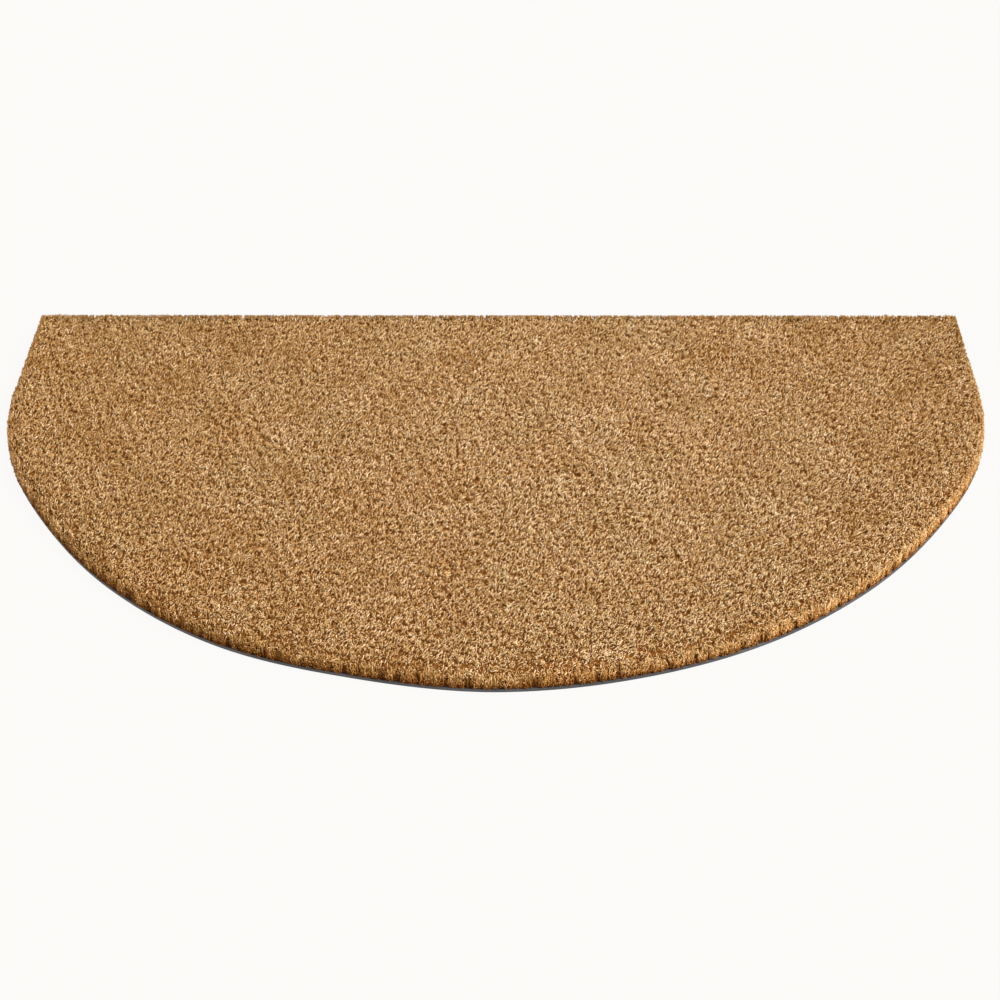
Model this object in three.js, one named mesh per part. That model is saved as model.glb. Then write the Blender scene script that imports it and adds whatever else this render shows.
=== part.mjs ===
// Half round coir doormat: a dense pile of coconut fibre tufts standing on a vinyl backing.
//
// Millimetres, +Z up. The mat lies flat with its straight side towards +Y and its round side
// towards -Y. The origin is on the floor, at the middle of the footprint's box.

import * as THREE from 'three';

// Driving sizes
const WIDTH = 762; // across the straight side
const DEPTH = 457; // from the straight side to the front of the true curve
const SIDE_RUN = 110; // straight run of each side before the curve starts
const CURVE_POWER = 1.86; // an ellipse has 2; less is slacker at the shoulders
const MAT_THICK = 18; // floor to the tips of the pile
const BACKING_THICK = 2.5;
const SEAT_GAP = 0.3; // between the backing and the pile that is fused to it

// How far the cut wanders out of the true curve, by the angle round the curve from the right end
const CUT_WANDER = [
  { angle: 0, out: 0 },
  { angle: 15, out: 0.9 },
  { angle: 30, out: -2.2 },
  { angle: 45, out: -0.2 },
  { angle: 60, out: 1.3 },
  { angle: 75, out: -0.5 },
  { angle: 90, out: -1.9 },
  { angle: 105, out: -2.4 },
  { angle: 120, out: 3 },
  { angle: 135, out: 1.7 },
  { angle: 150, out: -1.2 },
  { angle: 165, out: 1 },
  { angle: 180, out: 0 },
];

// Tufts along each stretch of the rim, about 7 mm apart
const BACK_TUFTS = 104;
const SIDE_TUFTS = 15;
const FRONT_TUFTS = 154;

// Where a tuft's two crown points stand between the notches on either side of it
const CROWN_SHARES = [0.3, 0.7];

// The rim from root to tip: height as a share of the pile, how far the crowns stand in from the
// backing's cut line, and how much deeper the notches between them are
const RIM_LEVELS = [
  { up: 0, inset: 1.9, notch: 1.9 },
  { up: 0.42, inset: 1.3, notch: 1.5 },
  { up: 0.82, inset: 0.5, notch: 1.7 },
  { up: 0.97, inset: 2.1, notch: 2.6 },
];

// How much one tuft differs from the next
const TUFT_REACH = 0.45; // in and out
const TUFT_LEAN = 1; // sideways at the tip
const TUFT_TALL = 0.5; // up and down at the tip

// The top of the pile, from the rim to the middle: the outline's scale, and points round it
const TOP_RINGS = [
  { scale: 0.965, points: 288 },
  { scale: 0.915, points: 144 },
  { scale: 0.86, points: 144 },
  { scale: 0.8, points: 144 },
  { scale: 0.73, points: 120 },
  { scale: 0.65, points: 120 },
  { scale: 0.56, points: 96 },
  { scale: 0.46, points: 96 },
  { scale: 0.35, points: 72 },
  { scale: 0.23, points: 48 },
  { scale: 0.11, points: 24 },
];
const TOP_SINK = 0.5; // the middle of the top's unevenness, below the full thickness
const LUMP_RISE = 0.45; // each way
const LUMP_SPACE = 58;

const BACKING_STEPS = 150; // along the curve
const CURVE_DIVISIONS = 2000; // for measuring along the curve

const coir = new THREE.MeshStandardMaterial({ color: 0xb08a56, roughness: 0.95, metalness: 0 });
const vinyl = new THREE.MeshStandardMaterial({ color: 0x45464b, roughness: 0.55, metalness: 0 });

// A repeatable number from -1 to 1 for each pair of whole numbers
function vary(index, kind) {
  let mixed = Math.imul(index + 1, 0x9e3779b1) ^ Math.imul(kind + 1, 0x85ebca6b);
  mixed = Math.imul(mixed ^ (mixed >>> 15), 0x2c1b3c6d);
  mixed = Math.imul(mixed ^ (mixed >>> 13), 0x297a2d39);
  return (((mixed ^ (mixed >>> 16)) >>> 0) / 0xffffffff) * 2 - 1;
}

// The wander of the cut at an angle in degrees, on a smooth line through the table's rows
function wanderAt(degrees) {
  const rows = CUT_WANDER;
  const step = rows[1].angle - rows[0].angle;
  const at = Math.min(rows.length - 2, Math.floor(degrees / step));
  const row = (index) => rows[THREE.MathUtils.clamp(index, 0, rows.length - 1)].out;
  const share = degrees / step - at;
  const slopeIn = (row(at + 1) - row(at - 1)) / 2;
  const slopeOut = (row(at + 2) - row(at)) / 2;
  const squared = share * share;
  const cubed = squared * share;
  return (
    row(at) * (2 * cubed - 3 * squared + 1) +
    slopeIn * (cubed - 2 * squared + share) +
    row(at + 1) * (3 * squared - 2 * cubed) +
    slopeOut * (cubed - squared)
  );
}

// The round side: half a superellipse from the right side to the left, pushed out by the wander.
// The straight side is at y = 0 here.
class RoundCut extends THREE.Curve {
  getPoint(share, target = new THREE.Vector2()) {
    const angle = share * Math.PI;
    const across = Math.cos(angle);
    const along = Math.sin(angle);
    const halfWidth = WIDTH / 2;
    const reach = DEPTH - SIDE_RUN;
    const bulge = (value) => Math.sign(value) * Math.abs(value) ** (2 / CURVE_POWER);
    const out = wanderAt(THREE.MathUtils.radToDeg(angle));
    const outward = new THREE.Vector2(across / halfWidth, -along / reach).normalize();
    return target
      .set(halfWidth * bulge(across), -SIDE_RUN - reach * bulge(along))
      .addScaledVector(outward, out);
  }
}

const roundCut = new RoundCut();
roundCut.arcLengthDivisions = CURVE_DIVISIONS;
const rightCorner = new THREE.Vector2(WIDTH / 2, 0);
const leftCorner = new THREE.Vector2(-WIDTH / 2, 0);

// The stretches of the cut line, clockwise from above, each with the tufts along it
const stretches = [
  { line: new THREE.LineCurve(leftCorner, rightCorner), tufts: BACK_TUFTS },
  { line: new THREE.LineCurve(rightCorner, roundCut.getPoint(0)), tufts: SIDE_TUFTS },
  { line: roundCut, tufts: FRONT_TUFTS },
  { line: new THREE.LineCurve(roundCut.getPoint(1), leftCorner), tufts: SIDE_TUFTS },
];

const cutLine = new THREE.CurvePath();
stretches.forEach((stretch) => cutLine.add(stretch.line));

// The middle of the footprint, which becomes the origin
const footprint = [leftCorner, rightCorner, ...roundCut.getSpacedPoints(BACKING_STEPS)];
const middle = new THREE.Box2().setFromPoints(footprint).getCenter(new THREE.Vector2());

// The way out of the mat at a point of one stretch
function outwardAt(line, share) {
  const along = line.getTangentAt(share);
  return new THREE.Vector2(-along.y, along.x);
}

// Vinyl sheet, cut to the outline and flat on the floor
function makeBacking() {
  const sheet = new THREE.ExtrudeGeometry(new THREE.Shape(footprint), {
    depth: BACKING_THICK,
    bevelEnabled: false,
  });
  const mesh = new THREE.Mesh(sheet, vinyl);
  mesh.name = 'vinyl_backing';
  return mesh;
}

// The points that every level of the rim repeats: where each stands on the cut line, the way out
// there, whether it is a notch, and the lean, reach and height of its own tuft
function rimPoints() {
  const found = [];
  let tuft = 0;
  stretches.forEach(({ line, tufts }, stretchIndex) => {
    for (let index = 0; index < tufts; index += 1, tuft += 1) {
      const traits = {
        lean: TUFT_LEAN * vary(tuft, 0),
        reach: TUFT_REACH * vary(tuft, 1),
        tall: TUFT_TALL * vary(tuft, 2),
      };
      const corner = index === 0 && (stretchIndex === 0 || stretchIndex === 1);
      [0, ...CROWN_SHARES].forEach((within) => {
        const share = (index + within) / tufts;
        const outward = outwardAt(line, share);
        if (within === 0 && corner) {
          outward.set(Math.sign(line.getPointAt(0).x), 1);
        }
        const steady = within === 0;
        found.push({
          place: line.getPointAt(share),
          outward,
          notch: steady && !corner,
          lean: steady ? 0 : traits.lean,
          reach: steady ? 0 : traits.reach,
          tall: steady ? 0 : traits.tall,
        });
      });
    }
  });
  return found;
}

// Height of the top of the pile: two crossing waves, so that it is gently uneven
function topHeight(place) {
  const turn = (2 * Math.PI) / LUMP_SPACE;
  const across = Math.sin(place.x * turn + 1.3 * Math.sin(place.y * turn * 0.6));
  const along = Math.sin(place.y * turn * 1.2 + 1.7 * Math.sin(place.x * turn * 0.5));
  return MAT_THICK - TOP_SINK + LUMP_RISE * across * along;
}

// Joins two closed rings of points, given as index lists, with one strip of triangles
function bridge(outer, inner, faces) {
  let outerStep = 0;
  let innerStep = 0;
  while (outerStep < outer.length || innerStep < inner.length) {
    const outerAt = outer[outerStep % outer.length];
    const innerAt = inner[innerStep % inner.length];
    if ((outerStep + 1) * inner.length <= (innerStep + 1) * outer.length) {
      outerStep += 1;
      faces.push(outerAt, innerAt, outer[outerStep % outer.length]);
    } else {
      innerStep += 1;
      faces.push(outerAt, innerAt, inner[innerStep % inner.length]);
    }
  }
}

// Coir pile: a lumpy slab whose rim is a row of upright tufts with notches between them
function makePile() {
  const positions = [];
  const faces = [];
  const addRing = (ring) => {
    const first = positions.length / 3;
    ring.forEach((point) => positions.push(point.x, point.y, point.z));
    return ring.map((_, index) => first + index);
  };

  const rim = rimPoints();
  const root = BACKING_THICK + SEAT_GAP;
  const pileHeight = MAT_THICK - TOP_SINK - root;
  const levels = RIM_LEVELS.map((level) =>
    rim.map((point) => {
      const inset = level.inset + (point.notch ? level.notch : 0);
      const along = new THREE.Vector2(point.outward.y, -point.outward.x);
      const spot = point.place
        .clone()
        .addScaledVector(point.outward, point.reach * level.up - inset)
        .addScaledVector(along, point.lean * level.up);
      return new THREE.Vector3(spot.x, spot.y, root + pileHeight * level.up + point.tall * level.up);
    }),
  );
  const levelRings = levels.map(addRing);
  for (let index = 1; index < levelRings.length; index += 1) {
    bridge(levelRings[index - 1], levelRings[index], faces);
  }

  const floorOutline = levels[0].map((point) => new THREE.Vector2(point.x, point.y));
  THREE.ShapeUtils.triangulateShape(floorOutline, []).forEach(([a, b, c]) => {
    faces.push(levelRings[0][a], levelRings[0][c], levelRings[0][b]);
  });

  const topRings = TOP_RINGS.map(({ scale, points }) =>
    addRing(
      cutLine
        .getSpacedPoints(points)
        .slice(0, points)
        .map((point) => {
          const spot = point.sub(middle).multiplyScalar(scale).add(middle);
          return new THREE.Vector3(spot.x, spot.y, topHeight(spot));
        }),
    ),
  );
  [levelRings.at(-1), ...topRings].forEach((ring, index) => {
    if (index < topRings.length) bridge(ring, topRings[index], faces);
  });
  const [centre] = addRing([new THREE.Vector3(middle.x, middle.y, topHeight(middle))]);
  const last = topRings.at(-1);
  last.forEach((point, index) => faces.push(point, centre, last[(index + 1) % last.length]));

  const geometry = new THREE.BufferGeometry();
  geometry.setAttribute('position', new THREE.Float32BufferAttribute(positions, 3));
  geometry.setIndex(faces);
  geometry.computeVertexNormals();
  const mesh = new THREE.Mesh(geometry, coir);
  mesh.name = 'coir_pile';
  return mesh;
}

const doormat = new THREE.Group();
doormat.add(makeBacking(), makePile());
doormat.position.set(-middle.x, -middle.y, 0);

export default doormat;
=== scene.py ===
"""Dresses the half round doormat: cut coconut fibre standing in a sheet of dark vinyl.

Metres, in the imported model's frame: +Z up, the floor at zero, the straight side towards +Y.
"""

import logging
import math
from collections.abc import Iterable
from dataclasses import dataclass, fields
from enum import Enum

import bpy
import numpy as np
from bpy.types import Material, Node, NodeSocket, NodeTree, Object
from mathutils import Matrix, Vector
from numpy import ndarray
from numpy.random import Generator


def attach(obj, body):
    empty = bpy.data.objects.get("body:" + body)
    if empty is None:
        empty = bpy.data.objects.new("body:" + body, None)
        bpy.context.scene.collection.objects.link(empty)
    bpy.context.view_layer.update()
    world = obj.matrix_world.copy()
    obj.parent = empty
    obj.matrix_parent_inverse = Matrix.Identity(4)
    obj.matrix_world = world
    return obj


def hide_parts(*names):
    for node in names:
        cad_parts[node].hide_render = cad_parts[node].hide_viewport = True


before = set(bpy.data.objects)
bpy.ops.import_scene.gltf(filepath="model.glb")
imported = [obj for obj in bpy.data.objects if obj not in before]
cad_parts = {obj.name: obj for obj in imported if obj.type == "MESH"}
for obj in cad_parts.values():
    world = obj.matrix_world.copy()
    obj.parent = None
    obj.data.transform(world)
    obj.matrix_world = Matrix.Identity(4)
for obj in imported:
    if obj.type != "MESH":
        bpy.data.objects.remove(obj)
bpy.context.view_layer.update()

SEED = 20
MM = 0.001
SIDES = 3  # of every fibre
TOP_PIECES = 4  # that the fibres of the cut top are joined into

Stops = tuple[tuple[float, str], ...]  # of a colour ramp: places and hex colours

log = logging.getLogger("doormat")


class Finish(Enum):
    """The finishes of the mat and its floor, each named for what it is and how it was made."""

    CUT_COIR = "coir_fibre_cut"
    PACKED_COIR = "coir_fibre_packed"
    CAST_VINYL = "vinyl_cast_sheet"
    OPAL_ACRYLIC = "acrylic_opal_lit"


def linear(colour: str) -> tuple[float, float, float, float]:
    """Turns an sRGB hex colour into linear light.

    Args:
        colour: six hex digits, with or without a leading #.

    Returns:
        Red, green and blue in linear light, and an alpha of 1.
    """
    digits = colour.lstrip("#")
    shares = [int(digits[at : at + 2], 16) / 255 for at in (0, 2, 4)]
    light = [s / 12.92 if s <= 0.04045 else ((s + 0.055) / 1.055) ** 2.4 for s in shares]
    return (*light, 1.0)


def add_node(
    tree: NodeTree,
    kind: str,
    inputs: dict | None = None,
    stops: Stops = (),
    **settings: object,
) -> Node:
    """Adds a shader node with its settings and links.

    Args:
        tree: the node tree it goes into.
        kind: the node's class name.
        inputs: what each input takes, by name or index: a value, or an output to link.
        stops: those of its colour ramp, if it has one.
        **settings: the node's own properties.

    Returns:
        The new node.
    """
    node = tree.nodes.new(kind)
    for name, value in settings.items():
        setattr(node, name, value)
    for key, value in (inputs or {}).items():
        if isinstance(value, NodeSocket):
            tree.links.new(value, node.inputs[key])
        else:
            node.inputs[key].default_value = value
    for index, (place, colour) in enumerate(stops):
        elements = node.color_ramp.elements
        element = elements[index] if index < len(elements) else elements.new(place)
        element.position = place
        element.color = linear(colour)
    return node


class Shader:
    """The nodes of one finish while they are joined up, read in the object's own metres."""

    mix_first, mix_second, mix_result = 6, 7, 2  # the sockets of a Mix node for colours

    def __init__(self, name: Finish) -> None:
        """Starts an empty node material, named for its finish."""
        self.material = bpy.data.materials.new(name.value)
        self.material.use_nodes = True
        self.tree = self.material.node_tree
        self.tree.nodes.clear()

    def place(self) -> NodeSocket:
        """Gives the place on the object."""
        return add_node(self.tree, "ShaderNodeTexCoord").outputs["Object"]

    def height(self) -> NodeSocket:
        """Gives the height above the floor."""
        return add_node(self.tree, "ShaderNodeSeparateXYZ", {"Vector": self.place()}).outputs["Z"]

    def attribute(self, name: str) -> NodeSocket:
        """Gives a number that the mesh itself carries."""
        return add_node(self.tree, "ShaderNodeAttribute", attribute_name=name).outputs["Fac"]

    def noise(self, size: float, detail: float, pull: float = 0.0) -> NodeSocket:
        """Gives noise with lumps of a size, pulled out of line by coarser noise."""
        inputs = {"Vector": self.place(), "Scale": 1 / size, "Detail": detail, "Distortion": pull}
        return add_node(self.tree, "ShaderNodeTexNoise", inputs).outputs["Fac"]

    def ramp(self, share: NodeSocket, stops: Stops) -> NodeSocket:
        """Gives the colour at a share of the way along the stops."""
        return add_node(self.tree, "ShaderNodeValToRGB", {"Fac": share}, stops).outputs["Color"]

    def rising(self, value: NodeSocket, low: float, high: float) -> NodeSocket:
        """Gives 0 where the value is low, 1 where it is high, and the share between them."""
        inputs = {"Value": value, "From Min": low, "From Max": high}
        return add_node(self.tree, "ShaderNodeMapRange", inputs).outputs["Result"]

    def falling(self, value: NodeSocket, low: float, high: float) -> NodeSocket:
        """Gives 1 where the value is low, 0 where it is high, and the share between them."""
        inputs = {"Value": value, "From Min": low, "From Max": high, "To Min": 1.0, "To Max": 0.0}
        return add_node(self.tree, "ShaderNodeMapRange", inputs).outputs["Result"]

    def mixed(
        self, share: NodeSocket | float, first: NodeSocket, second: NodeSocket, blend: str = "MIX"
    ) -> NodeSocket:
        """Gives two colours mixed by the second one's share."""
        inputs = {"Factor": share, self.mix_first: first, self.mix_second: second}
        return add_node(
            self.tree, "ShaderNodeMix", inputs, data_type="RGBA", blend_type=blend
        ).outputs[self.mix_result]

    def raised(self, pattern: NodeSocket, height: float, strength: float) -> NodeSocket:
        """Gives the way that the surface faces with a pattern raised on it."""
        inputs = {"Height": pattern, "Distance": height, "Strength": strength}
        return add_node(self.tree, "ShaderNodeBump", inputs).outputs["Normal"]

    def finished(self, inputs: dict) -> Material:
        """Ends the nodes with a surface that takes the inputs, and gives the material."""
        skin = add_node(self.tree, "ShaderNodeBsdfPrincipled", inputs)
        add_node(self.tree, "ShaderNodeOutputMaterial", {"Surface": skin.outputs["BSDF"]})
        return self.material


def mesh_piece(
    name: str, points: ndarray, corners: ndarray, counts: ndarray, finish: Material, smooth: bool
) -> Object:
    """Puts whole arrays of points and faces into a new object at the origin.

    Args:
        name: the piece's name.
        points: one row of x, y, z for each vertex.
        corners: the vertex at each face corner, face after face.
        counts: how many corners each face has.
        finish: the piece's material.
        smooth: whether the faces are shaded as one smooth surface.

    Returns:
        The object, linked into the scene.
    """
    mesh = bpy.data.meshes.new(name)
    mesh.vertices.add(len(points))
    mesh.vertices.foreach_set("co", points.astype(np.float32).ravel())
    mesh.loops.add(len(corners))
    mesh.loops.foreach_set("vertex_index", corners.astype(np.int32))
    mesh.polygons.add(len(counts))
    starts = np.cumsum(counts) - counts
    mesh.polygons.foreach_set("loop_start", starts.astype(np.int32))
    mesh.polygons.foreach_set("use_smooth", np.full(len(counts), smooth))
    mesh.update(calc_edges=True)
    mesh.materials.append(finish)
    piece = bpy.data.objects.new(name, mesh)
    bpy.context.scene.collection.objects.link(piece)
    return piece


def strips_between(rings: ndarray) -> ndarray:
    """Gives the quads that join each ring of vertices, clockwise from above, to the next."""
    turned = np.roll(rings, -1, axis=1)
    return np.stack([rings[:-1], rings[1:], turned[1:], turned[:-1]], axis=-1).reshape(-1, 4)


def fan_under(centre: int, ring: ndarray) -> ndarray:
    """Gives the triangles that close a ring of vertices, clockwise from above, from below."""
    return np.stack([np.full(len(ring), centre), ring, np.roll(ring, -1)], axis=1)


def joined(*faces: ndarray) -> tuple[ndarray, ndarray]:
    """Gives the corners of quads and triangles in one row, and how many each face has."""
    corners = np.concatenate([rows.ravel() for rows in faces])
    return corners, np.concatenate([np.full(len(rows), rows.shape[1]) for rows in faces])


@dataclass(frozen=True)
class CutLine:
    """The line that the mat is cut to, with the middle of its box at the origin.

    Three straight sides and a round front. The front is half a superellipse, pushed out or in by
    the few millimetres that the cut wanders, on a smooth line through evenly spaced values.
    """

    width: float = 762 * MM
    depth: float = 457 * MM
    side_run: float = 110 * MM
    curve_power: float = 1.86
    wander_mm: tuple[float, ...] = (0, 0.9, -2.2, -0.2, 1.3, -0.5, -1.9, -2.4, 3, 1.7, -1.2, 1, 0)
    steps: int = 4000

    def wander(self, share: ndarray) -> ndarray:
        """Gives how far out the cut wanders: a cubic through the values, level at neither end.

        Args:
            share: places round the front, from 0 at the right side to 1 at the left.

        Returns:
            Metres out of the true curve at each place.
        """
        rows = np.pad(np.array(self.wander_mm) * MM, 1, mode="edge")
        spans = len(self.wander_mm) - 1
        at = np.minimum((share * spans).astype(int), spans - 1)
        part = share * spans - at
        before, start, end, after = (rows[at + step] for step in range(4))
        return (
            start * (2 * part**3 - 3 * part**2 + 1)
            + (end - before) / 2 * (part**3 - 2 * part**2 + part)
            + end * (3 * part**2 - 2 * part**3)
            + (after - start) / 2 * (part**3 - part**2)
        )

    def front(self) -> ndarray:
        """Gives the round front from the right side to the left, with the straight side at y 0."""
        share = np.linspace(0, 1, self.steps + 1)
        across = np.cos(share * math.pi)
        along = np.sin(share * math.pi)
        half = self.width / 2
        reach = self.depth - self.side_run
        bulge_x = np.sign(across) * np.abs(across) ** (2 / self.curve_power)
        bulge_y = np.abs(along) ** (2 / self.curve_power)
        true_curve = np.stack([half * bulge_x, -self.side_run - reach * bulge_y], axis=1)
        outward = np.stack([across / half, -along / reach], axis=1)
        outward /= np.linalg.norm(outward, axis=1, keepdims=True)
        return true_curve + outward * self.wander(share)[:, None]

    def loop(self) -> ndarray:
        """Gives the whole line, clockwise from above from the left back corner and back to it."""
        half = self.width / 2
        corners = np.array([[-half, 0], [half, 0]])
        line = np.vstack([corners, self.front(), corners[:1]])
        middle = (line.min(axis=0) + line.max(axis=0)) / 2
        return line - middle

    def back(self) -> float:
        """Gives the y of the straight back side."""
        return float(self.loop()[0, 1])

    def area(self) -> float:
        """Gives the flat area inside the line, in square metres."""
        x, y = self.loop().T
        return abs(float(np.sum(x[:-1] * y[1:] - x[1:] * y[:-1]))) / 2

    def length(self) -> float:
        """Gives the length of the line, in metres."""
        return float(np.linalg.norm(np.diff(self.loop(), axis=0), axis=1).sum())

    def at(self, place: ndarray) -> tuple[ndarray, ndarray]:
        """Gives points of the line and the way out of the mat there.

        Args:
            place: distances along the line from the left back corner, in metres.

        Returns:
            The points, and the outward directions of length 1.
        """
        line = self.loop()
        steps = np.diff(line, axis=0)
        lengths = np.linalg.norm(steps, axis=1)
        along = np.concatenate([[0], np.cumsum(lengths)])
        turned = place % along[-1]
        points = np.stack([np.interp(turned, along, line[:, axis]) for axis in (0, 1)], axis=1)
        step = np.clip(np.searchsorted(along, turned, side="right") - 1, 0, len(steps) - 1)
        outward = np.stack([-steps[step, 1], steps[step, 0]], axis=1) / lengths[step, None]
        return points, outward

    def spaced(self, count: int) -> tuple[ndarray, ndarray]:
        """Gives a count of evenly spaced points of the line, and the ways out there."""
        return self.at(np.linspace(0, self.length(), count, endpoint=False))

    def around(self, points: ndarray) -> tuple[ndarray, ndarray]:
        """Gives how far inside the line points are, and the way out of the mat near each.

        The inset is the gap to the line along the ray from the middle, times the cosine of the
        slant between that ray and the line's own way out.

        Args:
            points: one row of x, y for each point.

        Returns:
            Metres inside, negative outside; and the outward directions.
        """
        edge, outward = self.spaced(self.steps)
        radius = np.linalg.norm(edge, axis=1)
        slant = (edge * outward).sum(axis=1) / radius
        turn = np.arctan2(edge[:, 1], edge[:, 0])
        wanted = np.arctan2(points[:, 1], points[:, 0])
        reach, cosine, out_x, out_y = (
            np.interp(wanted, turn, values, period=2 * math.pi)
            for values in (radius, slant, *outward.T)
        )
        inset = (reach - np.linalg.norm(points, axis=1)) * cosine
        return inset, np.stack([out_x, out_y], axis=1)

    def inset_of(self, points: ndarray) -> ndarray:
        """Gives how far inside the line points are, in metres."""
        return self.around(points)[0]

    def drawn_in(self, points: ndarray, inset: ndarray) -> ndarray:
        """Moves points that are less far inside than an inset straight towards the middle."""
        over = np.clip(inset - self.inset_of(points), 0, None)
        return points - points / np.linalg.norm(points, axis=1, keepdims=True) * over[:, None]


@dataclass(frozen=True)
class VinylFinish:
    """Plasticised PVC, cast as a sheet: a dull dark grey with a fine leathery grain."""

    greys: Stops = ((0.3, "#313134"), (0.75, "#504F54"))
    roughness: float = 0.48
    ior: float = 1.53
    cloud_mm: float = 28
    cloud_detail: float = 3.0
    grain_mm: float = 1.6  # the cast grain is nearer 0.8 mm, which no render of the whole mat shows
    grain_depth: float = 0.12 * MM
    grain_strength: float = 0.5

    def build(self) -> Material:
        """Makes the material: faint clouds of grey, and a cell pattern raised as the grain."""
        shader = Shader(Finish.CAST_VINYL)
        cloud = shader.noise(self.cloud_mm * MM, self.cloud_detail)
        grain = add_node(
            shader.tree, "ShaderNodeTexVoronoi",
            {"Vector": shader.place(), "Scale": 1 / (self.grain_mm * MM)}, feature="SMOOTH_F1",
        ).outputs["Distance"]
        return shader.finished({
            "Base Color": shader.ramp(cloud, self.greys),
            "Roughness": self.roughness,
            "IOR": self.ior,
            "Normal": shader.raised(grain, self.grain_depth, self.grain_strength),
        })


@dataclass(frozen=True)
class CutCoirFinish:
    """Undyed coconut husk fibre, spun, tufted and sheared: straw to russet, red brown at its root as
    painted shade.
    """

    tones: Stops = (
        (0.0, "#845925"),
        (0.35, "#BB9359"),
        (0.7, "#DBB987"),
        (1.0, "#FAE4C0"),
    )
    patches: Stops = ((0.36, "#C88A4C"), (0.62, "#C9B183"))  # russet and straw
    patch_mm: float = 70
    patch_detail: float = 2.0
    patch_strength: float = 0.12
    deep_painted_shade: str = "#EBC990"  # painted shade: the tint that deepens the colour low in the pile
    deep_shade_heights: tuple[float, float] = (4 * MM, 17.3 * MM)  # between which that goes
    # painted shade: the red brown at a fibre's root and at the pile's foot
    root: str = "#5A2804"
    foot_shade_heights: tuple[float, float] = (1.5 * MM, 8 * MM)  # between which the root's painted shade goes
    root_shade_until: float = 0.55  # the share of a fibre's way up at which the root's painted shade has gone
    roughness: float = 0.65
    ior: float = 1.5
    mirror: float = 0.08  # specular level: a dry, scuffed fibre mirrors less than its IOR says

    def build(self) -> Material:
        """Makes the material: each fibre's own tone and broad faint patches, and painted shade: a
        deeper gold low down in the pile, and red brown at a fibre's root and at the foot of the pile.
        """
        shader = Shader(Finish.CUT_COIR)
        fibre = shader.ramp(shader.attribute("tone"), self.tones)
        tint = shader.ramp(shader.noise(self.patch_mm * MM, self.patch_detail), self.patches)
        tinted = shader.mixed(self.patch_strength, fibre, tint)
        height = shader.height()
        # painted shade: deeper and redder low in the pile, where the fibres shade each other
        deep_shade_share = shader.falling(height, *self.deep_shade_heights)
        deep_shaded = shader.mixed(deep_shade_share, tinted, linear(self.deep_painted_shade), "MULTIPLY")
        foot_shade_share = shader.falling(height, *self.foot_shade_heights)
        # painted shade: red brown at each fibre's root, fading out on its way up
        depth = shader.falling(shader.attribute("along"), 0.0, self.root_shade_until)
        root_and_foot_shade = add_node(
            shader.tree, "ShaderNodeMath", {0: depth, 1: foot_shade_share}, operation="MAXIMUM"
        ).outputs["Value"]
        return shader.finished({
            "Base Color": shader.mixed(root_and_foot_shade, deep_shaded, linear(self.root)),
            "Roughness": self.roughness,
            "IOR": self.ior,
            "Specular IOR Level": self.mirror,
        })


@dataclass(frozen=True)
class PackedCoirFinish:
    """The same fibre deep in the pile, packed and shaded: brown, with short pale lines in it."""

    browns: Stops = ((0.35, "#5F2F08"), (0.55, "#8E581B"), (0.75, "#B48444"))
    # painted shade: the bed darker at its foot
    foot: str = "#562A08"
    foot_shade_heights: tuple[float, float] = (2.5 * MM, 9 * MM)  # between which the foot's painted shade goes
    fibre_mm: float = 1.4  # a few fibres together: one is nearer 0.25 mm
    fibre_detail: float = 3.0
    fibre_pull: float = 1.5
    relief: float = 1.0 * MM
    relief_strength: float = 0.8
    roughness: float = 0.85
    mirror: float = 0.2  # specular level

    def build(self) -> Material:
        """Makes the material: fine noise, pulled out of line by coarser noise, as colour and relief."""
        shader = Shader(Finish.PACKED_COIR)
        noise = shader.noise(self.fibre_mm * MM, self.fibre_detail, self.fibre_pull)
        above_foot_shade = shader.rising(shader.height(), *self.foot_shade_heights)
        colour = shader.ramp(noise, self.browns)
        return shader.finished({
            "Base Color": shader.mixed(above_foot_shade, linear(self.foot), colour),
            "Specular IOR Level": self.mirror,
            "Roughness": self.roughness,
            "Normal": shader.raised(noise, self.relief, self.relief_strength),
        })


@dataclass(frozen=True)
class OpalAcrylicFinish:
    """The top of a light table: matt opal acrylic, lit evenly from below, so shade hardly shows."""

    colour: str = "#262626"
    glow: str = "#FFFEFC"
    glow_strength: float = 0.94
    roughness: float = 0.9
    mirror: float = 0.0  # specular level: it is matt all through

    def build(self) -> Material:
        """Makes the material: one even glow under a little matt reflection."""
        return Shader(Finish.OPAL_ACRYLIC).finished({
            "Base Color": linear(self.colour),
            "Roughness": self.roughness,
            "Specular IOR Level": self.mirror,
            "Emission Color": linear(self.glow),
            "Emission Strength": self.glow_strength,
        })


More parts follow.
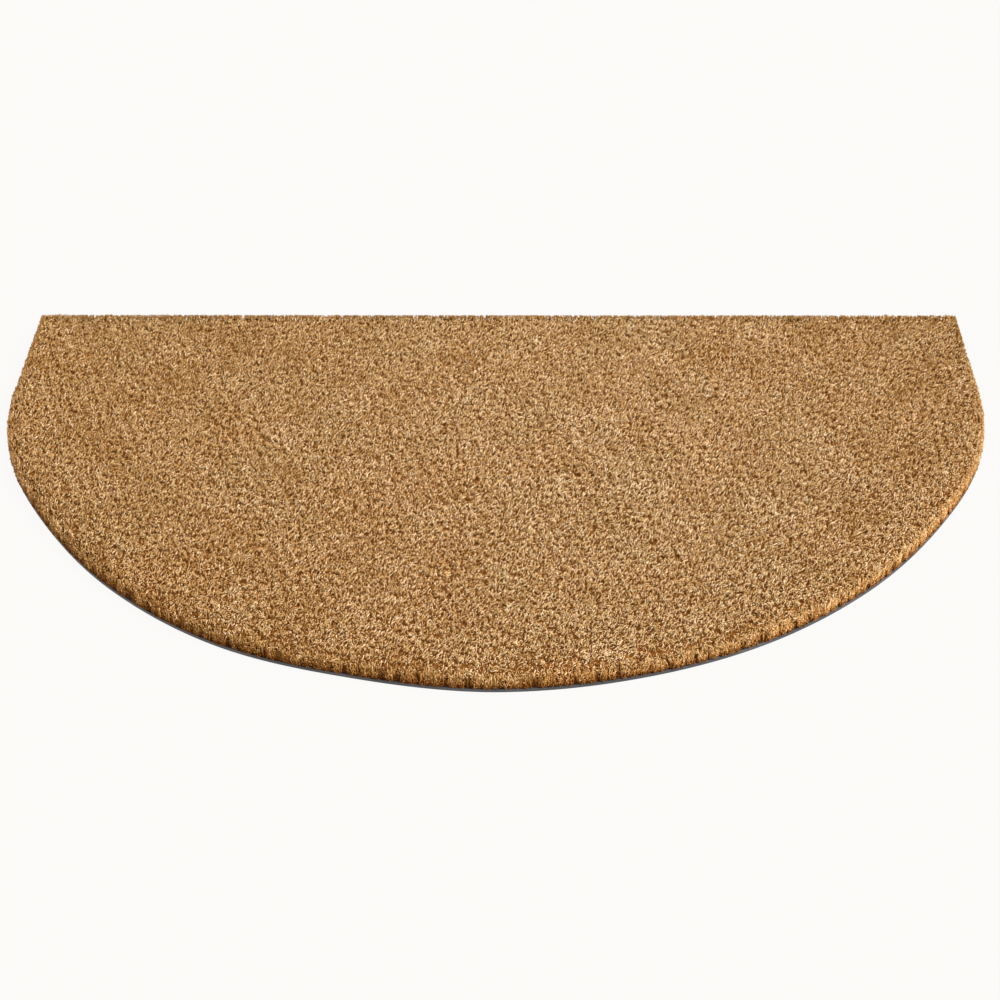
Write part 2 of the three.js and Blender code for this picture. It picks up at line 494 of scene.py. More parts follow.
@dataclass
class VinylBacking:
    """The sheet of vinyl under the pile, cut through with a knife, so its edges are all but sharp."""

    cut: CutLine
    thick: float = 2.5 * MM
    edge: float = 0.25 * MM  # radius of the softened edges
    rim: float = 12 * MM  # how far in the two faces' first ring lies
    edge_steps: int = 4  # points round each softened edge
    steps: int = 720

    def profile(self) -> list[tuple[float, float]]:
        """Gives the sheet's half section from the underside up: inset and height, in metres."""
        turns = np.linspace(0, math.pi / 2, self.edge_steps)
        low = [(self.edge * (1 - math.sin(t)), self.edge * (1 - math.cos(t))) for t in turns]
        high = [(inset, self.thick - height) for inset, height in reversed(low)]
        return [(self.rim, 0.0), *low, *high, (self.rim, self.thick)]

    def build(self, finish: Material) -> Object:
        """Carries the half section along the cut line and closes both faces at the middle.

        Args:
            finish: the vinyl's material.

        Returns:
            The sheet.
        """
        edge, outward = self.cut.spaced(self.steps)
        rings = [
            np.column_stack([edge - outward * inset, np.full(self.steps, height)])
            for inset, height in self.profile()
        ]
        points = np.vstack([*rings, [[0, 0, 0], [0, 0, self.thick]]])
        numbers = np.arange(self.steps * len(rings)).reshape(len(rings), self.steps)
        under = fan_under(len(points) - 2, numbers[0])
        over = fan_under(len(points) - 1, numbers[-1])[:, [0, 2, 1]]  # turned over
        faces = joined(strips_between(numbers), under, over)
        sheet = mesh_piece("vinyl_sheet", points, *faces, finish, smooth=False)
        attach(sheet, "root")
        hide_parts("vinyl_backing")
        return sheet


@dataclass
class PileShape:
    """The height of the cut pile: its gentle unevenness, and how it rounds over at the rim."""

    cut: CutLine
    thick: float = 18 * MM
    sink: float = 0.5 * MM
    lump_rise: float = 0.45 * MM
    lump_space: float = 58 * MM
    across_bend: float = 1.3  # how far the waves across are bent by slower ones,
    across_slower: float = 0.6  # which are this many times as quick
    along_quicker: float = 1.2  # how many times as quick the waves along are
    along_bend: float = 1.7  # and how they are bent in turn
    along_slower: float = 0.5
    round_over: float = 12 * MM  # how far in from the cut line the top starts to fall
    round_drop: float = 5.0 * MM
    square_run: float = 165 * MM  # from the back, over which the rim turns from square to round
    level_edge: float = 6 * MM  # within this of a square edge, the waves fade out

    def squareness(self, points: ndarray) -> ndarray:
        """Gives how square the rim is cut near points, from 1 at the back to 0 round the front."""
        return np.clip(1 - (self.cut.back() - points[:, 1]) / self.square_run, 0, 1)

    def levelness(self, points: ndarray, inset: ndarray) -> ndarray:
        """Gives how far the pile is trimmed level, which is all the way at a square edge."""
        return self.squareness(points) * np.clip(1 - inset / self.level_edge, 0, 1)

    def top(self, points: ndarray, inset: ndarray) -> ndarray:
        """Gives the height of the fibre tips: two crossing waves, less a fall near the rim that
        grows with the square of the nearness to it. Where the rim is square, there is no fall,
        and the waves fade out towards the edge instead.

        Args:
            points: one row of x, y for each point.
            inset: how far inside the cut line each is.

        Returns:
            Heights above the floor, in metres.
        """
        x, y = points.T * 2 * math.pi / self.lump_space
        across = np.sin(x + self.across_bend * np.sin(y * self.across_slower))
        along = np.sin(y * self.along_quicker + self.along_bend * np.sin(x * self.along_slower))
        rounded = 1 - self.squareness(points)
        fall = self.round_drop * rounded * np.clip(1 - inset / self.round_over, 0, 1) ** 2
        uneven = self.lump_rise * across * along - self.sink
        return self.thick + uneven * (1 - self.levelness(points, inset)) - fall


@dataclass
class PileBed:
    """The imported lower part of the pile, a slab with a rough top and a rough upright wall."""

    cut: CutLine
    shape: PileShape
    root: float = 2.55 * MM
    below_tips: float = 3.7 * MM
    long_steps: int = 270  # along the back, and along the front
    short_steps: int = 90  # down each side
    rough: float = 0.7 * MM
    rough_foot: float = 0.2  # the share of that at the wall's foot; it grows by the height's share
    rim_inset: float = 5.0 * MM  # where the wall ends and the top begins
    # The wall from its foot up: inset, and share of the way to the top
    wall_mm: tuple[tuple[float, float], ...] = ((1.4, 0.0), (2.0, 0.2), (2.5, 0.5), (3.4, 0.94))
    square_nearer: float = 0.2  # the share of the wall's inset that it loses where it is square
    level_nearer: float = 0.7  # the share of its depth below the tips that it loses there

    def packed_top(self, points: ndarray, inset: ndarray) -> ndarray:
        """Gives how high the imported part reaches: less far below the tips near a square edge."""
        near = self.level_nearer * self.shape.levelness(points, inset)
        return self.shape.top(points, inset) - self.below_tips * (1 - near)

    def grid(self, rim: ndarray) -> ndarray:
        """Fills the rim with a grid: each point is the sum of the straight blends between the two
        pairs of facing sides, less the blend of the four corners.

        Args:
            rim: points round the top's border, clockwise from the left back corner.

        Returns:
            Rows from back to front, of points from left to right.
        """
        turns = np.cumsum([0, self.long_steps, self.short_steps, self.long_steps])
        back, right, front, left = (
            np.take(rim, np.arange(start, start + steps + 1), axis=0, mode="wrap")
            for start, steps in zip(turns, (self.long_steps, self.short_steps) * 2)
        )
        front, left = front[::-1], left[::-1]
        across = np.linspace(0, 1, self.long_steps + 1)[None, :, None]
        down = np.linspace(0, 1, self.short_steps + 1)[:, None, None]
        lengthways = (1 - down) * back[None] + down * front[None]
        sideways = (1 - across) * left[:, None] + across * right[:, None]
        corner_blend = (1 - down) * ((1 - across) * back[0] + across * back[-1]) + down * (
            (1 - across) * front[0] + across * front[-1]
        )
        return lengthways + sideways - corner_blend

    def build(self, finish: Material, draws: Generator) -> Object:
        """Builds the slab: a wall carried along the cut line, a gridded top and a flat underside.

        Args:
            finish: the packed fibre's material.
            draws: the source of the roughness.

        Returns:
            The slab.
        """
        steps = 2 * (self.long_steps + self.short_steps)
        edge, outward = self.cut.spaced(steps)
        half_in = np.full(steps, self.rim_inset / 2)
        tall = self.packed_top(edge - outward * self.rim_inset / 2, half_in) - self.root
        kept = 1 - self.square_nearer * self.shape.squareness(edge)
        rings = []
        for inset_mm, share in self.wall_mm:
            ragged = draws.uniform(0, self.rough, steps)
            inset = inset_mm * MM * kept + ragged * (self.rough_foot + share)
            flat = edge - outward * inset[:, None]
            rings.append(np.column_stack([flat, self.root + tall * share]))

        flat = self.grid(edge - outward * self.rim_inset).reshape(-1, 2)
        height = self.packed_top(flat, self.cut.inset_of(flat))
        height += draws.uniform(-self.rough, self.rough, len(flat))
        points = np.vstack([np.column_stack([flat, height]), *rings, [[0, 0, self.root]]])

        numbers = np.arange(len(flat)).reshape(self.short_steps + 1, self.long_steps + 1)
        border = np.concatenate([
            numbers[0, :-1], numbers[:-1, -1], numbers[-1, :0:-1], numbers[:0:-1, 0],
        ])
        levels = len(flat) + np.arange(steps * len(rings)).reshape(len(rings), steps)
        walls = strips_between(np.vstack([levels, border]))
        cells = np.stack(
            [numbers[:-1, :-1], numbers[1:, :-1], numbers[1:, 1:], numbers[:-1, 1:]], axis=-1
        )
        under = fan_under(len(points) - 1, levels[0])
        faces = joined(walls, cells.reshape(-1, 4), under)
        slab = mesh_piece("coir_bed", points, *faces, finish, smooth=True)
        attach(slab, "root")
        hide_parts("coir_pile")
        return slab


@dataclass(frozen=True)
class Strand:
    """How one kind of fibre is drawn."""

    wide: float  # the mean radius: three or four times a real fibre's, to show from afar
    uneven: float = 0.25  # how much thicker or thinner than that a fibre may be, as a share
    along: tuple[float, ...] = (1.0,)  # where its rings of points are, as shares of its way up
    bared: float = 0.0  # how far its root is out of the pile's depth: 0 is deep, 1 in the open

    def radii(self, count: int, draws: Generator) -> ndarray:
        """Draws the radius of each fibre."""
        return self.wide * draws.uniform(1 - self.uneven, 1 + self.uneven, count)


@dataclass
class Wisps:
    """Cut fibres, one row of every array for each: three-sided rods that rise from a point."""

    root: ndarray
    tip: ndarray
    sway: ndarray
    radius: ndarray
    tone: ndarray

    def part(self, chosen: ndarray) -> "Wisps":
        """Gives the chosen rows alone."""
        return Wisps(*(getattr(self, field.name)[chosen] for field in fields(self)))

    def rings_of_points(self, along: ndarray, draws: Generator) -> ndarray:
        """Gives the points of every fibre: its root, then rings of three up to its tip.

        A fibre's line is its root, plus its share of the way to the tip, plus the sway times a
        hump that is 1 half way up. Round the line stand three points a third of a turn apart,
        square to it.

        Args:
            along: where the rings are, as shares of the way from root to tip.
            draws: the source of each fibre's turn about its own line.

        Returns:
            For each fibre, its points in order.
        """
        reach = self.tip - self.root
        hump = 4 * along * (1 - along)
        slope = 4 * (1 - 2 * along)
        root, sway = self.root[:, None], self.sway[:, None]
        line = root + reach[:, None] * along[:, None] + sway * hump[:, None]
        way = reach[:, None] + sway * slope[:, None]
        way /= np.linalg.norm(way, axis=2, keepdims=True)
        turn = draws.uniform(0, 2 * math.pi, len(self.root))
        side = np.stack([np.cos(turn), np.sin(turn), np.zeros(len(turn))], axis=1)[:, None]
        first = side - way * (side * way).sum(axis=2, keepdims=True)
        first /= np.linalg.norm(first, axis=2, keepdims=True)
        second = np.cross(way, first)
        angle = np.arange(SIDES) * 2 * math.pi / SIDES
        ring = first[:, :, None] * np.cos(angle)[:, None] + second[:, :, None] * np.sin(angle)[:, None]
        points = line[:, :, None] + ring * self.radius[:, None, None, None]
        return np.concatenate([root, points.reshape(len(turn), -1, 3)], axis=1)

    def build(self, name: str, strand: Strand, finish: Material, draws: Generator) -> Object:
        """Builds the fibres as one joined mesh.

        Args:
            name: the piece's name.
            strand: how they are drawn.
            finish: the cut fibre's material.
            draws: the source of each fibre's turn about its own line.

        Returns:
            The joined piece, with attributes for tone and for the way along, and a bake map
            in which every fibre has a cell of its own.
        """
        along = np.array(strand.along)
        points = self.rings_of_points(along, draws)
        rings = len(along)
        count, each = points.shape[:2]
        first = (np.arange(count) * each)[:, None]
        ring = 1 + np.arange(SIDES * rings).reshape(rings, SIDES)
        turned = np.roll(ring, -1, axis=1)
        base = np.stack([np.zeros(SIDES, int), turned[0], ring[0]], axis=-1).ravel()
        sides = np.stack([ring[:-1], turned[:-1], turned[1:], ring[1:]], axis=-1).ravel()
        corners = first + np.concatenate([base, sides, ring[-1]])[None]
        counts = np.tile([3] * SIDES + [4] * (SIDES * (rings - 1)) + [SIDES], count)
        points = points.reshape(-1, 3)
        piece = mesh_piece(name, points, corners.ravel(), counts, finish, smooth=True)

        tone = piece.data.attributes.new("tone", "FLOAT", "POINT")
        tone.data.foreach_set("value", self.tone.repeat(each).astype(np.float32))
        shares = strand.bared + (1 - strand.bared) * np.append(0, along.repeat(SIDES))
        way_up = piece.data.attributes.new("along", "FLOAT", "POINT")
        way_up.data.foreach_set("value", np.tile(shares, count).astype(np.float32))
        self.map_cells(piece, count, rings)
        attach(piece, "root")
        return piece

    @staticmethod
    def map_cells(piece: Object, count: int, rings: int) -> None:
        """Gives every fibre its own cell of the bake map: across it the three sides, up it the
        way along, with the cut end in the cell's top band.

        Args:
            piece: the joined fibres.
            count: how many fibres it has.
            rings: how many rings of points each has.
        """
        margin = 0.08
        body = 0.78  # share of the cell's height that the sides take
        end_low = body + 0.06  # where the cut end starts, above a gap
        lefts = np.arange(SIDES) / SIDES
        spans = list(zip(lefts, lefts + 1 / SIDES))
        up = np.linspace(0, body, rings + 1)
        foot = [
            corner
            for left, right in spans
            for corner in (((left + right) / 2, 0), (right, up[1]), (left, up[1]))
        ]
        sides = [
            corner
            for low, high in zip(up[1:-1], up[2:])
            for left, right in spans
            for corner in ((left, low), (right, low), (right, high), (left, high))
        ]
        end = [(0, end_low), (1, end_low), (0.5, 1)]
        cell = margin + np.array([*foot, *sides, *end]) * (1 - 2 * margin)
        columns = math.ceil(math.sqrt(count))
        spot = np.stack(np.divmod(np.arange(count), columns)[::-1], axis=1)
        uv = (spot[:, None] + cell[None]) / columns
        layer = piece.data.uv_layers.new(name="OFBake")
        layer.uv.foreach_set("vector", uv.astype(np.float32).ravel())


@dataclass(frozen=True)
class Swirl:
    """What neighbouring fibres share: a sum of waves, each with its own way, length and phase."""

    waves: int = 24
    shortest: float = 3.5 * MM
    longest: float = 12 * MM

    def at(self, points: ndarray, parts: int, draws: Generator) -> ndarray:
        """Gives smoothly varying numbers, each with a mean of 0 and a spread of 1.

        Args:
            points: one row of x, y for each place.
            parts: how many independent numbers each place gets.
            draws: the source of the waves.

        Returns:
            One row of numbers for each place.
        """
        total = np.zeros((len(points), parts))
        for _ in range(self.waves):
            turn = draws.uniform(0, 2 * math.pi)
            length = draws.uniform(self.shortest, self.longest)
            phase = draws.uniform(0, 2 * math.pi, parts)
            run = points @ np.array([math.cos(turn), math.sin(turn)]) * 2 * math.pi / length
            total += np.cos(run[:, None] + phase)
        return total * math.sqrt(2 / self.waves)


@dataclass(frozen=True)
class ToneDrift:
    """How the fibre's tone drifts from one end of the mat to the other, in one long wave."""

    share: float = 0.07  # each way
    length: float = 900 * MM  # from one palest place to the next
    palest: float = 100 * MM  # to the right of the middle

    def at(self, points: ndarray) -> ndarray:
        """Gives what is added to the tone at points: one long wave from left to right."""
        return self.share * np.cos((points[:, 0] - self.palest) * 2 * math.pi / self.length)


@dataclass
class CutTop:
    """The cut face of the pile: short fibre ends on a jittered grid, leaning every way."""

    cut: CutLine
    shape: PileShape
    space: float = 1.37 * MM
    jitter: float = 0.42  # of the spacing, each way
    strand: Strand = Strand(wide=0.36 * MM)
    tall: float = 4.0 * MM  # how far below the cut face the roots are
    keep_in: float = 0.8 * MM  # how far inside the cut line the outermost roots are
    square_nearer: float = 0.6  # the share of that which it loses where the rim is square
    overhang: float = 0.3 * MM  # how far past the cut line the round rim's fibres may lean
    ragged: float = 1.0 * MM  # how unevenly they stop there
    shared_lean: float = 1.1 * MM
    own_lean: float = 1.9 * MM
    rim_lean: float = 1.0 * MM  # outwards, at the round rim
    nap: float = 1.4 * MM  # to the right, the way that the shears passed
    shared_height: float = 0.4 * MM
    rim_height: float = 0.25 * MM  # what the shared unevenness grows by at the round rim
    own_height: float = 0.85 * MM
    drift: ToneDrift = ToneDrift()
    tone: float = 0.52
    own_tone: float = 0.26
    level_painted_shade: float = -0.6  # painted shade added to the tone of fibres trimmed level at a square edge; added to the tone of those at a round rim, and of those near the straight side
    rim_tone: float = 0.05  # of those at a round rim,
    back_tone: float = -0.06  # and of those near the straight side
    patch_tone: float = 0.04
    patch: tuple[float, float] = (14 * MM, 100 * MM)  # the shortest and longest patches of tone

    def spots(self, draws: Generator) -> ndarray:
        """Gives the fibres' feet: a grid of staggered rows, each point moved a little.

        Args:
            draws: the source of the moves.

        Returns:
            One row of x, y for each foot inside the cut line.
        """
        row_gap = self.space * math.sqrt(3) / 2
        columns = math.ceil(self.cut.width / self.space) + 2
        rows = math.ceil(self.cut.depth / row_gap) + 2
        row, column = np.divmod(np.arange(rows * columns), columns)
        spots = np.stack([
            (column - columns / 2 + (row % 2) / 2) * self.space,
            (row - rows / 2) * row_gap,
        ], axis=1)
        spots += draws.uniform(-self.jitter, self.jitter, spots.shape) * self.space
        least = self.keep_in * (1 - self.square_nearer * self.shape.squareness(spots))
        return spots[self.cut.inset_of(spots) > least]

    def grow(self, draws: Generator) -> Wisps:
        """Grows the fibres: each leans by what it shares with its neighbours plus its own.

        Args:
            draws: the source of all that varies.

        Returns:
            The fibres.
        """
        foot = self.spots(draws)
        count = len(foot)
        shared = Swirl().at(foot, 3, draws)
        lean = self.shared_lean * shared[:, :2] + draws.normal(0, self.own_lean, (count, 2))
        lean[:, 0] += self.nap
        foot_inset, outward = self.cut.around(foot)
        rounded = 1 - self.shape.squareness(foot)
        near = rounded * np.clip(1 - foot_inset / self.shape.round_over, 0, 1)
        lean += outward * (self.rim_lean * near)[:, None]
        limit = np.abs(draws.normal(0, self.ragged, count)) - self.overhang
        head = self.cut.drawn_in(foot + lean, limit * rounded)
        inset = self.cut.inset_of(head)
        level = self.shape.levelness(head, inset)
        uneven = (self.shared_height + self.rim_height * near) * shared[:, 2]
        uneven -= np.abs(draws.normal(0, self.own_height, count))
        top = self.shape.top(head, inset) + uneven * (1 - level)
        low = self.shape.top(foot, foot_inset) - self.tall
        patches = Swirl(shortest=self.patch[0], longest=self.patch[1]).at(foot, 1, draws)[:, 0]
        tone = draws.normal(self.tone, self.own_tone, count) + self.patch_tone * patches
        # painted shade: fibres trimmed level at a square edge made darker
        tone += self.level_painted_shade * level**2 + self.rim_tone * near + self.back_tone * (1 - rounded)
        tone += self.drift.at(foot)
        return Wisps(
            root=np.column_stack([foot, low]),
            tip=np.column_stack([head, top]),
            sway=np.zeros((count, 3)),
            radius=self.strand.radii(count, draws),
            tone=np.clip(tone, 0, 1),
        )


@dataclass
class TuftRow:
    """The tufts round the rim, with one value of every array for each tuft or each of its fibres."""

    middle: ndarray  # where it stands, along the cut line
    square: ndarray  # how square the rim is cut there
    lean: ndarray  # sideways at the head
    bow: ndarray  # sideways half way up
    reach: ndarray  # outwards at the head
    unwind: ndarray  # radians that it turns from foot to head
    tall: ndarray
    tone: ndarray

    def repeated(self, each: int) -> "TuftRow":
        """Gives every tuft's values once for each of its fibres."""
        return TuftRow(*(getattr(self, field.name).repeat(each) for field in fields(self)))


@dataclass
class TuftedRim:
    """The upright tufts round the rim, cut from twisted yarn: gathered at the foot, splayed and
    curled above it, with short fibre ends standing out of them at every height.
    """

    cut: CutLine
    shape: PileShape
    pitch: float = 7 * MM
    per_tuft: int = 16
    ends_per_tuft: int = 90
    long_strand: Strand = Strand(wide=0.46 * MM, along=(0.2, 0.6, 1.0), bared=0.3)
    end_strand: Strand = Strand(wide=0.46 * MM, bared=0.15)
    foot_height: float = 0.6 * MM  # the feet are fused into the vinyl
    foot_inset: float = 0.35 * MM  # of the outermost feet
    foot_deep: float = 1.0 * MM  # half of how deep a tuft is at its foot
    head_deep: float = 2.0 * MM  # the same at its head
    square_in: float = 1.0 * MM  # how much further out the heads are where the rim is square
    uneven: float = 0.24  # of the pitch, each way
    gather: float = 0.9  # the foot's width, as a share of the pitch
    splay: float = 1.25  # the head's, the same way
    square_splay: float = 0.5  # what that grows by where the rim is square
    unwind: float = 0.8  # radians that a tuft turns from foot to head
    tuft_lean: float = 1.4 * MM
    tuft_bow: float = 1.2 * MM
    tuft_reach: float = 0.35 * MM
    tuft_tall: float = 0.6 * MM
    tuft_tone: float = 0.08
    loose: float = 1.0 * MM  # each fibre's own lean and bow along the rim,
    loose_in: float = 0.5 * MM  # its own share of how far in its head is
    loose_out: float = MM / 3  # and its own bow outwards, about the belly
    belly: float = 0.2 * MM  # how far a tuft bows outwards
    shortfall: float = 1.3 * MM  # how far below the cut top the heads end, times
    inner_short: float = 0.5  # this for those inside
    outer_short: float = 1.5  # and this more for the outermost
    outer_deep: float = 4.0 * MM  # how far in that extra has gone
    # painted shade: the rim's tone drifts darker towards the left, the side away from the lamp
    drift: ToneDrift = ToneDrift(share=0.14, palest=250 * MM)
    tone: float = 0.5
    own_tone: float = 0.28
    square_painted_shade: float = -0.5  # painted shade added where the rim is square
    tuft_side_shade: float = -0.45  # painted shade added at a tuft's two sides, between the tufts
    end_low: float = 1.3 * MM  # where the lowest ends start
    end_rise: tuple[float, float] = (2.0 * MM, 6.5 * MM)
    end_deep: tuple[float, float] = (1.2 * MM, 3.4 * MM)  # how far in an end starts
    end_out: tuple[float, float] = (-0.5 * MM, 0.7 * MM)  # how far in it stops
    end_across: float = 0.9  # how much of a tuft's width they stand on
    end_side: float = 0.9 * MM  # how far an end leans sideways
    end_fan: float = 1.0 * MM  # how far a tuft's outermost ends lean away from its middle
    end_share: float = 0.4  # of the whole tuft's lean and bow, that each end has
    bulge: float = 2.8 * MM  # how much further out a tuft's middle is than its sides,
    square_bulge: float = 0.25  # times this where the rim is square
    overhang: float = 0.4 * MM  # how far the tufts' middles stand out over the vinyl, times
    foot_overhang: float = 2.0  # this for the ends at their feet
    head_overhang: float = 0.5  # and this for those at their heads

    def row(self, draws: Generator) -> TuftRow:
        """Spaces the tufts round the cut line and draws how each differs from the next.

        Where the rim is square, they stand straight and alike.

        Args:
            draws: the source of the differences.

        Returns:
            The tufts.
        """
        tufts = round(self.cut.length() / self.pitch)
        middle = np.arange(tufts) + draws.uniform(-self.uneven, self.uneven, tufts)
        middle *= self.pitch_fitted()
        spots = self.cut.at(middle)[0]
        square = self.shape.squareness(spots)
        rounded = 1 - square
        # painted shade: the tufts darker where the rim is square
        tone = self.tone + self.square_painted_shade * square + self.drift.at(spots)
        return TuftRow(
            middle=middle,
            square=square,
            lean=draws.normal(0, self.tuft_lean, tufts) * rounded,
            bow=draws.normal(0, self.tuft_bow, tufts) * rounded,
            reach=draws.normal(0, self.tuft_reach, tufts) * rounded,
            unwind=draws.normal(0, self.unwind, tufts),
            tall=draws.normal(0, self.tuft_tall, tufts) * rounded,
            tone=tone + draws.normal(0, self.tuft_tone, tufts),
        )

    def pitch_fitted(self) -> float:
        """Gives the pitch that divides the cut line evenly."""
        return self.cut.length() / round(self.cut.length() / self.pitch)

    def long_fibres(self, row: TuftRow, draws: Generator) -> Wisps:
        """Grows the fibres that run from the vinyl to the cut top.

        A fibre starts at a random place in the tuft's round section. On its way up that section
        widens and turns, and the whole tuft leans and bows along the rim.

        Args:
            row: the tufts.
            draws: the source of all that varies.

        Returns:
            The fibres.
        """
        half = self.pitch_fitted() / 2
        tuft = row.repeated(self.per_tuft)
        count = len(tuft.middle)
        angle = draws.uniform(0, 2 * math.pi, count)
        radius = np.sqrt(draws.uniform(0, 1, count))
        foot_across, foot_back = radius * np.cos(angle), radius * np.sin(angle)
        angle = angle + tuft.unwind
        head_across, head_back = radius * np.cos(angle), radius * np.sin(angle)

        foot_edge, foot_out = self.cut.at(tuft.middle + foot_across * self.gather * half)
        splay = self.splay + self.square_splay * tuft.square
        head_at = tuft.middle + head_across * splay * half + tuft.lean
        head_at += draws.normal(0, self.loose, count)
        head_edge, head_out = self.cut.at(head_at)
        foot_in = self.foot_inset + self.foot_deep * (1 + foot_back)
        head_in = self.head_deep * (1 + head_back) - tuft.reach
        head_in += draws.normal(0, self.loose_in, count) - tuft.square * self.square_in
        head_in = np.maximum(head_in, (tuft.square - 1) * self.overhang)
        foot = foot_edge - foot_out * foot_in[:, None]
        head = head_edge - head_out * head_in[:, None]

        outer = np.clip(1 - head_in / self.outer_deep, 0, 1)
        short = np.abs(draws.normal(0, self.shortfall, count))
        short *= self.inner_short + self.outer_short * outer
        top = self.shape.top(head, head_in) + tuft.tall - short * (1 - tuft.square)
        along_rim = np.stack([foot_out[:, 1], -foot_out[:, 0]], axis=1)
        sideways = tuft.bow + draws.normal(0, self.loose, count)
        outwards = draws.normal(self.belly, self.loose_out, count)
        sway = along_rim * sideways[:, None] + foot_out * outwards[:, None]
        # painted shade: darker at a tuft's two sides
        tone = tuft.tone + self.tuft_side_shade * foot_across**2 + draws.normal(0, self.own_tone, count)
        return Wisps(
            root=np.column_stack([foot, np.full(count, self.foot_height)]),
            tip=np.column_stack([head, top]),
            sway=np.column_stack([sway, np.zeros(count)]),
            radius=self.long_strand.radii(count, draws),
            tone=np.clip(tone, 0, 1),
        )

    def short_ends(self, row: TuftRow, draws: Generator) -> Wisps:
        """Grows the fibre ends that stand out of the tufts' sides, on the same lean and bow.

        Across a tuft the surface falls back with the square of the distance from its middle.

        Args:
            row: the tufts.
            draws: the source of all that varies.

        Returns:
            The fibre ends.
        """
        half = self.pitch_fitted() / 2
        tuft = row.repeated(self.ends_per_tuft)
        count = len(tuft.middle)
        across = draws.uniform(-self.end_across, self.end_across, count)
        up = draws.uniform(0, 1, count)
        spread = self.gather + (self.splay - self.gather) * up
        place = tuft.middle + across * spread * half + tuft.lean * up
        place += tuft.bow * 4 * up * (1 - up)
        rounded = 1 - tuft.square
        surface = self.bulge * across**2
        surface *= self.square_bulge + (1 - self.square_bulge) * rounded
        overhang = self.foot_overhang + (self.head_overhang - self.foot_overhang) * up
        surface -= self.overhang * rounded * overhang + tuft.reach * up
        edge, outward = self.cut.at(place)
        root = edge - outward * (surface + draws.uniform(*self.end_deep, count))[:, None]
        side = draws.normal(self.end_fan * across, self.end_side)
        side += self.end_share * (tuft.lean + tuft.bow)
        edge, outward = self.cut.at(place + side)
        tip = edge - outward * (surface + draws.uniform(*self.end_out, count))[:, None]
        lowest = self.end_low + self.end_rise[0]
        high = lowest + up * (self.shape.top(tip, np.clip(surface, 0, None)) - lowest)
        low = np.maximum(high - draws.uniform(*self.end_rise, count), self.end_low)
        # painted shade: darker at a tuft's two sides
        tone = tuft.tone + self.tuft_side_shade * across**2 + draws.normal(0, self.own_tone, count)
        return Wisps(
            root=np.column_stack([root, low]),
            tip=np.column_stack([tip, high]),
            sway=np.zeros((count, 3)),
            radius=self.end_strand.radii(count, draws),
            tone=np.clip(tone, 0, 1),
        )


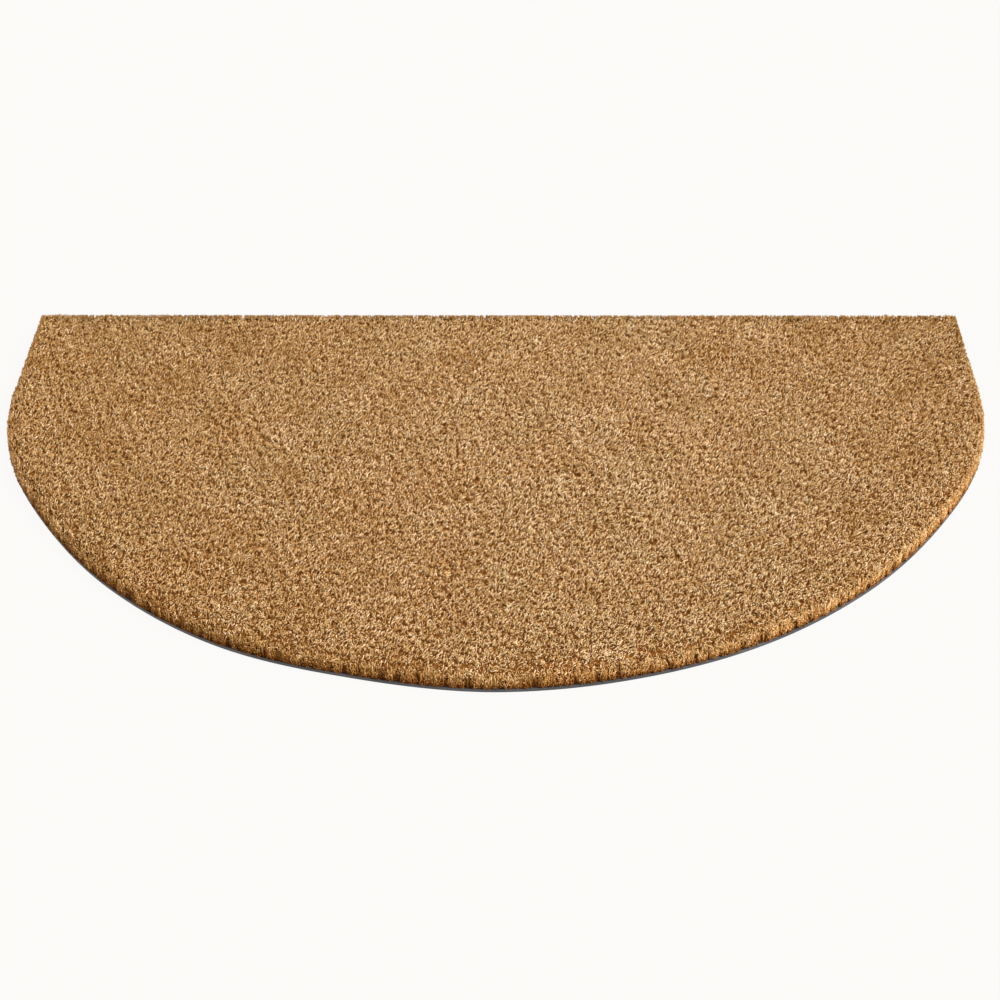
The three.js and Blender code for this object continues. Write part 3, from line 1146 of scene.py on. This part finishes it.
@dataclass
class Studio:
    """A lit opal table, a broad lamp high on the right, an even sky and the camera."""

    lens: float = 71.23
    sensor: float = 36.0
    height: float = 855.2 * MM
    stand_back: float = 1204.05 * MM
    aside: float = 25.5 * MM
    pitch: float = 35.65  # degrees, as the next two are
    yaw: float = 0.969
    roll: float = -0.445
    sky: float = 0.76
    sky_colour: str = "#FFF7EE"  # faintly cream, as walls send the lamp's light back
    key_power: float = 4.0
    key_spread: float = 34.0  # degrees that the lamp fills
    key_from: tuple[float, float, float] = (0.7, -0.25, 0.68)
    floor_span: float = 14.0  # metres

    def build_camera(self) -> None:
        """Stands the camera where the mat's outline in the photograph says it stood."""
        data = bpy.data.cameras.new("camera")
        data.lens = self.lens
        data.sensor_width = self.sensor
        camera = bpy.data.objects.new("camera", data)
        bpy.context.scene.collection.objects.link(camera)
        turn = Matrix.Rotation(math.radians(self.yaw), 4, "Z")
        tilt = Matrix.Rotation(math.radians(90 - self.pitch), 4, "X")
        roll = Matrix.Rotation(math.radians(self.roll), 4, "Z")
        place = Matrix.Translation((self.aside, -self.stand_back, self.height))
        camera.matrix_world = place @ turn @ tilt @ roll
        bpy.context.scene.camera = camera

    def build_lights(self) -> None:
        """Sets the lamp's direction and spread, and lights the sky evenly."""
        data = bpy.data.lights.new("key", "SUN")
        data.energy = self.key_power
        data.angle = math.radians(self.key_spread)
        key = bpy.data.objects.new("key", data)
        bpy.context.scene.collection.objects.link(key)
        key.matrix_world = Vector(self.key_from).to_track_quat("Z", "Y").to_matrix().to_4x4()
        world = bpy.data.worlds.new("studio")
        world.use_nodes = True
        background = world.node_tree.nodes["Background"].inputs
        background["Strength"].default_value = self.sky
        background["Color"].default_value = linear(self.sky_colour)
        bpy.context.scene.world = world

    def build_floor(self, finish: Material) -> None:
        """Lays the table's top under the mat.

        Args:
            finish: the floor's material.
        """
        half = self.floor_span / 2
        points = np.array([[-half, -half, 0], [half, -half, 0], [half, half, 0], [-half, half, 0]])
        floor = mesh_piece("floor", points, *joined(np.arange(4)[None]), finish, smooth=False)


def report(piece: Object) -> Object:
    """Logs a piece's name and its count of triangles, and hands it back."""
    piece.data.calc_loop_triangles()
    log.info("%s: %d triangles", piece.name, len(piece.data.loop_triangles))
    return piece


def main() -> None:
    """Builds the mat's sub-assemblies in order, then the studio."""
    logging.basicConfig(level=logging.INFO, format="%(name)s: %(message)s")
    bpy.context.scene.view_settings.view_transform = "Standard"
    draws = np.random.default_rng(SEED)
    cut = CutLine()
    shape = PileShape(cut)
    vinyl = VinylFinish().build()
    coir = CutCoirFinish().build()
    packed = PackedCoirFinish().build()

    sheet = report(VinylBacking(cut).build(vinyl))
    parts = [report(PileBed(cut, shape).build(packed, draws))]
    face = CutTop(cut, shape)
    top = face.grow(draws)
    bands = np.array_split(np.argsort(top.root[:, 0], kind="stable"), TOP_PIECES)
    for number, band in enumerate(bands, start=1):
        parts.append(report(top.part(band).build(f"coir_top_{number}", face.strand, coir, draws)))
    rim = TuftedRim(cut, shape)
    row = rim.row(draws)
    tufts = rim.long_fibres(row, draws)
    parts.append(report(tufts.build("coir_rim_tufts", rim.long_strand, coir, draws)))
    ends = rim.short_ends(row, draws)
    parts.append(report(ends.build("coir_rim_ends", rim.end_strand, coir, draws)))
    cut.area()

    studio = Studio()
    studio.build_camera()
    studio.build_lights()
    studio.build_floor(OpalAcrylicFinish().build())


if __name__ == "__main__":
    main()
